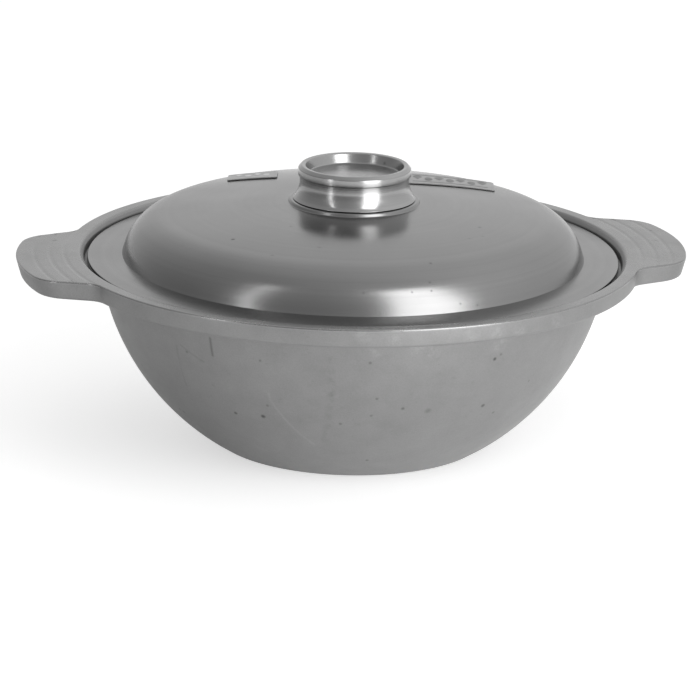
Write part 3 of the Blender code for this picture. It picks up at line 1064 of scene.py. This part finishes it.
# Lid -------------------------------------------------------------------------------------------
@dataclass
class Lid:
    """The lid's casting: flange, dome and the boss that the knob stands on."""

    radius: float
    bottom: float
    boss_top: float
    flange_thickness: float = 0.0032
    flange_rise: float = 0.0008
    thickness: float = 0.0035
    boss_radius: float = 0.0343
    boss_height: float = 0.0015
    cap_radius: float = 0.1005
    cap_drop: float = 0.0067
    shoulder: float = 0.0265
    shoulder_start: float = math.radians(9.6)
    foot_fillet: float = 0.0025
    hole: float = 0.0029

    def cap(self, radius: float) -> float:
        """The height of the dome's cap at a radius."""
        top = self.boss_top - self.boss_height
        return top - self.cap_drop * (radius / self.cap_radius) ** 3

    def dome(self) -> list[Point]:
        """The dome's outside.

        Returns:
            Its points, from the boss to the dome's foot.
        """
        radii = np.linspace(self.boss_radius + 0.001, self.cap_radius, 40)
        points = [(float(r), self.cap(float(r))) for r in radii]
        end = math.atan2(1.0, 3 * self.cap_drop / self.cap_radius)
        centre = (
            self.cap_radius - self.shoulder * math.cos(end),
            self.cap(self.cap_radius) - self.shoulder * math.sin(end),
        )
        return points + arc(centre, self.shoulder, end, self.shoulder_start, 28)[1:]

    def finish(self) -> LidFinish:
        """The lid's finish with its pits in place.

        Returns:
            The finish.
        """
        dome = np.array(self.dome())
        flange = self.bottom + self.flange_thickness
        distances = [mark[1] / 1000 for mark in LID_PITS]
        heights = [float(np.interp(r, dome[:, 0], dome[:, 1], right=flange)) for r in distances]
        return LidFinish(pits=tuple(flat_mark(mark, height) for mark, height in zip(LID_PITS, heights)))

    def build(self) -> bpy.types.Object:
        """Make the lid's mesh.

        Returns:
            The lid's object.
        """
        flange = self.bottom + self.flange_thickness
        dome = self.dome()
        foot = dome[-1]
        boss_foot = (self.boss_radius + 0.0004, self.cap(self.boss_radius))
        boss = rounded(
            [(self.hole, self.boss_top), (self.boss_radius - 0.0002, self.boss_top), boss_foot, dome[2]],
            [0.0, 0.0009, 0.0005, 0.0],
        )
        corners = [
            foot,
            (foot[0] + 0.0004, flange + self.flange_rise),
            (self.radius, flange),
            (self.radius, self.bottom),
            (self.radius - 0.004, self.bottom),
        ]
        edge = rounded(corners, [0.0, self.foot_fillet, 0.0005, 0.0004, 0.0], 8)
        upper = [p for p in dome if p[1] > flange + self.flange_rise + self.foot_fillet]
        inner = offset(upper, self.thickness)
        inner[-1] = (inner[-1][0], self.bottom)
        under = straight((self.radius - 0.004, self.bottom), inner[-1], 6)
        crown = (self.hole, self.boss_top - self.boss_height - self.thickness)
        profile = boss[:-1] + upper[2:] + edge[1:-1] + under[:-1] + inner[::-1]
        profile += straight(inner[0], crown, 6)[1:]
        return turned("lid_casting", profile, TURN_STEPS, closed=True)


# Knob ------------------------------------------------------------------------------------------
@dataclass
class Knob:
    """The turned knob: dished top, band, waist and flared foot."""

    base: float
    top: float
    base_radius: float
    waist_radius: float = 0.0288
    waist_height: float = 0.0091
    band_radius: float = 0.0297
    band_bottom: float = 0.0123
    band_top: float = 0.0160
    lip_radius: float = 0.0280
    dish_top_radius: float = 0.0259
    dish_radius: float = 0.0243
    dish_depth: float = 0.0054
    relief_radius: float = 0.0270
    relief_depth: float = 0.0012
    pad_radius: float = 0.0080
    hole_radius: float = 0.0028
    hole_depth: float = 0.0098

    def build(self) -> bpy.types.Object:
        """Make the knob's mesh.

        Returns:
            The knob's object.
        """
        base = self.base
        waist = base + self.waist_height
        flare = self.base_radius - self.waist_radius
        radius = (flare ** 2 + self.waist_height ** 2) / (2 * flare)
        end = math.pi + math.asin(self.waist_height / radius)
        dish = self.top - self.dish_depth
        head = rounded(
            [
                (0.0, dish),
                (self.dish_radius, dish),
                (self.dish_top_radius, self.top - 0.0003),
                (self.lip_radius, self.top),
                (self.band_radius, base + self.band_top),
                (self.band_radius, base + self.band_bottom),
                (self.waist_radius, base + self.band_bottom - 0.0002),
                (self.waist_radius, waist),
            ],
            [0.0, 0.0009, 0.0008, 0.0009, 0.0008, 0.0004, 0.0004, 0.0],
            6,
        )
        head = straight(head[0], head[1], 5)[:-1] + head[1:]
        body = arc((self.waist_radius + radius, waist), radius, math.pi, end, 22)
        foot = rounded(
            [
                body[-2],
                (self.base_radius, base),
                (self.relief_radius, base),
                (self.relief_radius, base + self.relief_depth),
                (self.pad_radius, base + self.relief_depth),
                (self.pad_radius, base),
                (self.hole_radius, base),
                (self.hole_radius, base + self.hole_depth),
                (0.0, base + self.hole_depth),
            ],
            [0.0, 0.0003, 0.0003, 0.0002, 0.0002, 0.0003, 0.0003, 0.0, 0.0],
            3,
        )
        return turned("turned_knob", head[:-1] + body[:-2] + foot, KNOB_STEPS)

    def pits(self) -> tuple[Mark, ...]:
        """The pits in the dish, part of the way up its wall."""
        return tuple(flat_mark(mark, self.top - 0.72 * self.dish_depth) for mark in KNOB_PITS)


# Labels ----------------------------------------------------------------------------------------
@dataclass
class Label:
    """A thin foil label that follows the dome, with a raised border and a plain raised pattern."""

    name: str
    lid: Lid
    centre: Point
    length: float
    width: float
    turn: float = math.radians(-10.2)
    gap: float = 0.0003
    thickness: float = 0.0005
    corner: float = 0.0015
    border: float = 0.0016
    sunk: float = 0.00018
    step: float = 0.00035

    def plan(self) -> tuple[np.ndarray, np.ndarray]:
        """A grid over the label with rounded corners.

        Returns:
            The grid's lengthwise and crosswise places.
        """
        half = np.array([self.length, self.width]) / 2
        count = [int(round(2 * h / self.step)) for h in half]
        lengthwise = np.linspace(-half[0], half[0], count[0] + 1)
        crosswise = np.linspace(-half[1], half[1], count[1] + 1)
        u, v = np.meshgrid(lengthwise, crosswise, indexing="ij")
        over_u = np.clip(np.abs(u) - half[0] + self.corner, 0.0, None)
        over_v = np.clip(np.abs(v) - half[1] + self.corner, 0.0, None)
        square = np.maximum(over_u, over_v)
        scale = np.where(square > 0.0, square / np.maximum(np.hypot(over_u, over_v), 1e-9), 1.0)
        u = np.sign(u) * (np.abs(u) - over_u * (1.0 - scale))
        v = np.sign(v) * (np.abs(v) - over_v * (1.0 - scale))
        return u, v

    def pattern(self, u: np.ndarray, v: np.ndarray) -> np.ndarray:
        """The raised marks: a wavy row of lozenges and discs between two thin rules.

        Args:
            u: lengthwise places.
            v: crosswise places.

        Returns:
            1 on a mark, 0 off it.
        """
        marks = np.zeros_like(u)
        reach = self.length / 2 - 2.2 * self.border
        count = max(3, round(2 * reach / 0.0056))
        pitch = 2 * reach / count
        place = np.clip(np.floor((u + reach) / pitch), 0, count - 1)
        across = u - ((place + 0.5) * pitch - reach)
        even = place % 2 == 0
        along = v - np.where(even, 0.16, -0.02) * self.width
        lozenge = np.abs(across) / (0.44 * pitch) + np.abs(along) / (0.24 * self.width) < 1.0
        disc = (across / (0.36 * pitch)) ** 2 + (along / (0.17 * self.width)) ** 2 < 1.0
        inside = np.abs(u) < reach
        marks[np.where(even, lozenge, disc) & inside] = 1.0
        rule = np.abs(np.abs(v - 0.03 * self.width) - 0.33 * self.width) < 0.0005
        marks[rule & inside] = 1.0
        return marks

    def build(self) -> bpy.types.Object:
        """Make the label's mesh.

        Returns:
            The label's object, with its marks kept on its points.
        """
        u, v = self.plan()
        x = self.centre[0] + u * math.cos(self.turn) - v * math.sin(self.turn)
        y = self.centre[1] + u * math.sin(self.turn) + v * math.cos(self.turn)
        under = self.lid.boss_top - self.lid.boss_height + self.gap
        under = under - self.lid.cap_drop * (np.hypot(x, y) / self.lid.cap_radius) ** 3
        marks = self.pattern(u, v)
        edge = np.minimum(self.length / 2 - np.abs(u), self.width / 2 - np.abs(v))
        framed = np.clip((self.border - edge) / (0.4 * self.border), 0.0, 1.0)
        over = under + self.thickness - self.sunk * (1.0 - np.maximum(framed, marks))
        across = u.shape[1]
        top = np.stack([x, y, over], -1).reshape(-1, 3)
        low = np.stack([x, y, under], -1).reshape(-1, 3)
        index = np.arange(u.size).reshape(u.shape)
        quads = np.stack([index[:-1, :-1], index[1:, :-1], index[1:, 1:], index[:-1, 1:]], -1).reshape(-1, 4)
        loop = np.concatenate([index[:, 0], index[-1, 1:], index[-2::-1, -1], index[0, -2:0:-1]])
        ahead = np.roll(loop, -1)
        walls = np.stack([loop + u.size, ahead + u.size, ahead, loop], -1)
        faces = quads.tolist() + (quads[:, ::-1] + u.size).tolist() + walls.tolist()
        mesh = bpy.data.meshes.new(self.name)
        mesh.from_pydata(np.vstack([top, low]).tolist(), [], faces)
        shade = mesh.attributes.new("mark", "FLOAT", "POINT")
        values = np.concatenate([marks.ravel(), np.zeros(marks.size)]).astype(np.float32)
        shade.data.foreach_set("value", values)
        mesh.shade_smooth()
        mesh.set_sharp_from_angle(angle=SHARP_ANGLE)
        obj = bpy.data.objects.new(self.name, mesh)
        bpy.context.scene.collection.objects.link(obj)
        return obj


# Fasteners -------------------------------------------------------------------------------------
@dataclass
class Screw:
    """A pan head screw with a cross recess and a rolled thread."""

    face: float
    tip: float
    head_height: float = 0.0033
    head_radius: float = 0.0048
    face_radius: float = 0.0035
    shaft_radius: float = 0.0025
    thread_pitch: float = 0.0008
    thread_depth: float = 0.00025
    recess_width: float = 0.0011
    recess_length: float = 0.0050
    recess_depth: float = 0.0018

    def build(self) -> bpy.types.Object:
        """Make the screw's mesh.

        Returns:
            The screw's object.
        """
        angles = np.linspace(0.0, 2 * math.pi, 2 * SMALL_STEPS, endpoint=False)
        seat = self.face + self.head_height
        shaft = np.arange(self.tip - 0.0006, seat + 0.0012, -self.thread_pitch / 8)
        rings = [np.column_stack([0 * angles, 0 * angles, 0 * angles + self.tip])]
        end = self.shaft_radius - 0.0007
        rings.append(np.column_stack([end * np.cos(angles), end * np.sin(angles), 0 * angles + self.tip]))
        for height in shaft:
            phase = (height / self.thread_pitch - angles / (2 * math.pi)) % 1.0
            fade = min(1.0, (self.tip - height) / 0.0010, (height - seat) / 0.0020)
            radius = self.shaft_radius - self.thread_depth * max(fade, 0.0) * np.abs(2 * phase - 1.0)
            level = np.full_like(angles, height)
            rings.append(np.column_stack([radius * np.cos(angles), radius * np.sin(angles), level]))
        head = rounded(
            [
                (self.shaft_radius, seat + 0.0006),
                (self.shaft_radius, seat),
                (self.head_radius, seat),
                (self.head_radius, seat - 0.0018),
                (self.head_radius - 0.0004, self.face + 0.0007),
                (self.face_radius, self.face),
                (self.face_radius - 0.0003, self.face),
            ],
            [0.0, 0.0002, 0.0002, 0.0006, 0.0006, 0.0004, 0.0],
            4,
        )
        head += straight(head[-1], (0.0, self.face), 44)[1:]
        for radius, height in head:
            x = radius * np.cos(angles)
            y = radius * np.sin(angles)
            narrow = np.minimum(np.abs(x), np.abs(y))
            long = np.maximum(np.abs(x), np.abs(y))
            side = np.clip((self.recess_width / 2 - narrow) / 0.00012, 0.0, 1.0)
            close = np.clip((self.recess_length / 2 - long) / 0.00050, 0.0, 1.0)
            in_face = 1.0 if height < self.face + 1e-6 else 0.0
            rings.append(np.column_stack([x, y, height + self.recess_depth * in_face * side * close]))
        return ring_mesh("screw", np.array(rings))


@dataclass
class Washers:
    """The flat washer under the lid's crown and the split spring washer below it."""

    flat_low: float
    flat_high: float
    split_low: float
    split_high: float
    hole: float = 0.0029
    flat_radius: float = 0.0065
    split_radius: float = 0.0046
    slit: float = 0.0009
    slit_tilt: float = math.radians(30.0)
    edge: float = 0.00015

    def section(self, outer: float, low: float, high: float) -> list[Point]:
        """A washer's section as a closed loop with rounded corners.

        Args:
            outer: the washer's outer radius.
            low: its underside's height.
            high: its top's height.

        Returns:
            The loop's points.
        """
        middle = ((self.hole + outer) / 2, high)
        corners = [middle, (outer, high), (outer, low), (self.hole, low), (self.hole, high), middle]
        return rounded(corners, [0.0] + [self.edge] * 4 + [0.0], 3)[:-1]

    def flat(self) -> bpy.types.Object:
        """Make the flat washer."""
        loop = self.section(self.flat_radius, self.flat_low, self.flat_high)
        return turned("flat_washer", loop, SMALL_STEPS, closed=True)

    def split(self) -> bpy.types.Object:
        """Make the split spring washer, open at a tilted slit on +X.

        Returns:
            The washer's object.
        """
        loop = np.array(self.section(self.split_radius, self.split_low, self.split_high))
        lean = (loop[:, 1] - (self.split_low + self.split_high) / 2) * math.tan(self.slit_tilt)
        half = self.slit / 2 / loop[:, 0]
        sections = []
        for share in np.linspace(0.0, 1.0, SMALL_STEPS + 1):
            turn = half + share * (2 * math.pi - 2 * half) + lean / loop[:, 0]
            x = loop[:, 0] * np.cos(turn)
            sections.append(np.column_stack([x, loop[:, 0] * np.sin(turn), loop[:, 1]]))
        return swept("split_washer", np.array(sections))


# Scene -----------------------------------------------------------------------------------------
@dataclass(frozen=True)
class Softbox:
    """A plain upright light that faces the pot."""

    name: str
    turn: float
    wide: float
    low: float
    high: float
    power: float
    away: float = 0.62

    def build(self, side: Vector) -> None:
        """Hang the light.

        Args:
            side: the level direction from the pot to the light.
        """
        data = bpy.data.lights.new(self.name, "AREA")
        data.shape = "RECTANGLE"
        data.size = self.wide
        data.size_y = self.high - self.low
        data.energy = self.power
        lamp = bpy.data.objects.new(self.name, data)
        bpy.context.scene.collection.objects.link(lamp)
        lamp.location = side * self.away + Vector((0.0, 0.0, (self.high + self.low) / 2))
        lamp.rotation_euler = side.to_track_quat("Z", "Y").to_euler()
        lamp.visible_camera = False


@dataclass
class Studio:
    """The floor, the lights and the camera."""

    focus: float
    size: float
    azimuth: float = math.radians(-10.17)
    floor_size: float = 6.0
    lens: float = 180.0
    sensor: float = 36.0
    camera_away: float = 12.7528
    camera_rise: float = 3.4520
    camera_roll: float = 1.11
    aim_aside: float = -0.0047
    aim_drop: float = 0.3784
    floor_grey: float = 0.66
    floor_glow: float = 0.56
    floor_dark: float = 0.62
    floor_dark_turn: float = -92.0
    dark_turn: float = -60.0
    dark_spread: float = -0.6
    dark_rise: float = 15.0
    dark_level: float = 0.27
    side_level: float = 0.80
    sky_level: float = 0.20
    lights: tuple[Softbox, ...] = (
        Softbox("right_softbox", turn=35.0, wide=0.37, low=-0.02, high=0.92, power=3.4),
        Softbox("left_strip", turn=-48.5, wide=0.05, low=-0.02, high=0.80, power=0.42),
    )

    def floor(self) -> None:
        """Lay a pale floor that also glows: evenly bright to the camera, and dimmer towards the left front in
        the light it gives the pot and in the pot's reflections.
        """
        half = self.floor_size / 2
        mesh = bpy.data.meshes.new("floor")
        corners = [(-half, -half, 0.0), (half, -half, 0.0), (half, half, 0.0), (-half, half, 0.0)]
        mesh.from_pydata(corners, [], [(0, 1, 2, 3)])
        floor = bpy.data.objects.new("floor", mesh)
        bpy.context.scene.collection.objects.link(floor)
        n = Nodes("pale_floor")
        n.set(Roughness=0.9)
        n.grey(n.range(n.noise(3.0, 2.0), 0.0, 1.0, self.floor_grey - 0.01, self.floor_grey + 0.01))
        n.shader.inputs["Emission Color"].default_value = (1.0, 1.0, 1.0, 1.0)
        # Painted glow: the floor's emission fades towards the left front for every ray except the camera's,
        # which sees it evenly bright.
        aside = n.vector("DOT_PRODUCT", n.place, self.direction(self.floor_dark_turn), "Value")
        away = n.math("MAXIMUM", n.radius(), 0.01)
        fall = n.range(n.math("DIVIDE", aside, away), 0.0, 0.9, 1.0, 1.0 - self.floor_dark)
        seen = n.tree.nodes.new("ShaderNodeLightPath").outputs["Is Camera Ray"]
        glow = n.math("MULTIPLY", n.math("MAXIMUM", fall, seen), self.floor_glow)
        n.link(glow, n.shader.inputs["Emission Strength"])
        mesh.materials.append(n.material)
        floor.location.z = -0.0002

    def direction(self, turn: float) -> Vector:
        """The level direction at an angle in degrees to the right of the camera's side."""
        angle = self.azimuth - math.pi / 2 + math.radians(turn)
        return Vector((math.cos(angle), math.sin(angle), 0.0))

    def shine(self) -> None:
        """Place the softboxes round the pot and the pale surroundings."""
        for light in self.lights:
            light.build(self.direction(light.turn))
        self.surroundings()

    def surroundings(self) -> None:
        """Make pale surroundings that fall darker towards the left front."""
        world = bpy.data.worlds.new("surroundings")
        world.use_nodes = True
        tree = world.node_tree
        place = tree.nodes.new("ShaderNodeTexCoord").outputs["Generated"]
        rise = math.radians(self.dark_rise)
        dark = self.direction(self.dark_turn) * math.cos(rise) + Vector((0.0, 0.0, math.sin(rise)))
        facing = tree.nodes.new("ShaderNodeVectorMath")
        facing.operation = "DOT_PRODUCT"
        facing.inputs[1].default_value = dark
        tree.links.new(place, facing.inputs[0])
        sides = tree.nodes.new("ShaderNodeMapRange")
        sides.interpolation_type = "SMOOTHSTEP"
        names = ("From Min", "From Max", "To Min", "To Max")
        for name, value in zip(names, (self.dark_spread, 1.0, self.side_level, self.dark_level)):
            sides.inputs[name].default_value = value
        tree.links.new(facing.outputs["Value"], sides.inputs["Value"])
        height = tree.nodes.new("ShaderNodeSeparateXYZ")
        tree.links.new(place, height.inputs[0])
        sky = tree.nodes.new("ShaderNodeMath")
        sky.operation = "MULTIPLY_ADD"
        sky.use_clamp = True
        sky.inputs[1].default_value = self.sky_level
        tree.links.new(height.outputs["Z"], sky.inputs[0])
        tree.links.new(sides.outputs["Result"], sky.inputs[2])
        tree.nodes["Background"].inputs["Color"].default_value = (1.0, 1.0, 1.0, 1.0)
        tree.links.new(sky.outputs[0], tree.nodes["Background"].inputs["Strength"])
        bpy.context.scene.world = world

    def camera(self) -> None:
        """Set the camera at the view's own angle, distance and small roll."""
        unit = self.size
        spot = self.direction(0.0) * self.camera_away * unit
        spot.z = self.focus + self.camera_rise * unit
        across = self.direction(90.0)
        target = across * (self.aim_aside * unit)
        target += Vector((0.0, 0.0, self.focus - self.aim_drop * unit))
        forward = (target - spot).normalized()
        right = forward.cross(Vector((0.0, 0.0, 1.0))).normalized()
        up = right.cross(forward)
        roll = math.radians(self.camera_roll)
        tilted_right = right * math.cos(roll) + up * math.sin(roll)
        tilted_up = up * math.cos(roll) - right * math.sin(roll)
        data = bpy.data.cameras.new("camera")
        data.lens = self.lens
        data.sensor_width = self.sensor
        camera = bpy.data.objects.new("camera", data)
        bpy.context.scene.collection.objects.link(camera)
        turn = Matrix((tilted_right, tilted_up, -forward)).transposed().to_4x4()
        camera.matrix_world = Matrix.Translation(spot) @ turn
        bpy.context.scene.camera = camera
        bpy.context.scene.view_settings.view_transform = "Standard"

    def build(self) -> None:
        """Make the floor, the lights and the camera."""
        self.floor()
        self.shine()
        self.camera()


def main() -> None:
    """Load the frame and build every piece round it."""
    logging.basicConfig(level=logging.INFO, format="%(name)s: %(message)s")
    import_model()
    pot_low, pot_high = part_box("pot_body")
    lid_low, lid_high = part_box("lid")
    knob_low, knob_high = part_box("knob")
    flange = lid_low.z + Lid.flange_thickness

    pot = Pot(flange, pot_high.z, pot_high.y, pot_high.x)
    dress(pot.build(), Body.POT, "pot_body", pot.finish().build())
    lid = Lid(lid_high.x, lid_low.z, lid_high.z)
    dress(lid.build(), Body.LID, "lid", lid.finish().build())
    knob = Knob(knob_low.z, knob_high.z, knob_high.x)
    dress(knob.build(), Body.LID, "knob", KnobFinish(knob.pits()).build())
    steel = SteelFinish().build()
    screw_low, screw_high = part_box("knob_screw")
    dress(Screw(screw_low.z, screw_high.z).build(), Body.LID, "knob_screw", steel)
    flat_low, flat_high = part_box("knob_washer")
    split_low, split_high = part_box("knob_spring_washer")
    washers = Washers(flat_low.z, flat_high.z, split_low.z, split_high.z)
    dress(washers.flat(), Body.LID, "knob_washer", steel)
    dress(washers.split(), Body.LID, "knob_spring_washer", steel)
    pale_marks = FoilFinish("foil_with_pale_marks", 0.44, -0.45).build()
    dark_marks = FoilFinish("foil_with_dark_marks").build()
    left = Label("left_label", lid, (-0.0431, 0.0738), 0.0270, 0.0220)
    right = Label("right_label", lid, (0.0609, 0.0470), 0.0480, 0.0300)
    dress(left.build(), Body.LID, "label_left", pale_marks)
    dress(right.build(), Body.LID, "label_right", dark_marks)
    Studio(flange, lid_high.x).build()

    bpy.context.view_layer.update()


if __name__ == "__main__":
    main()
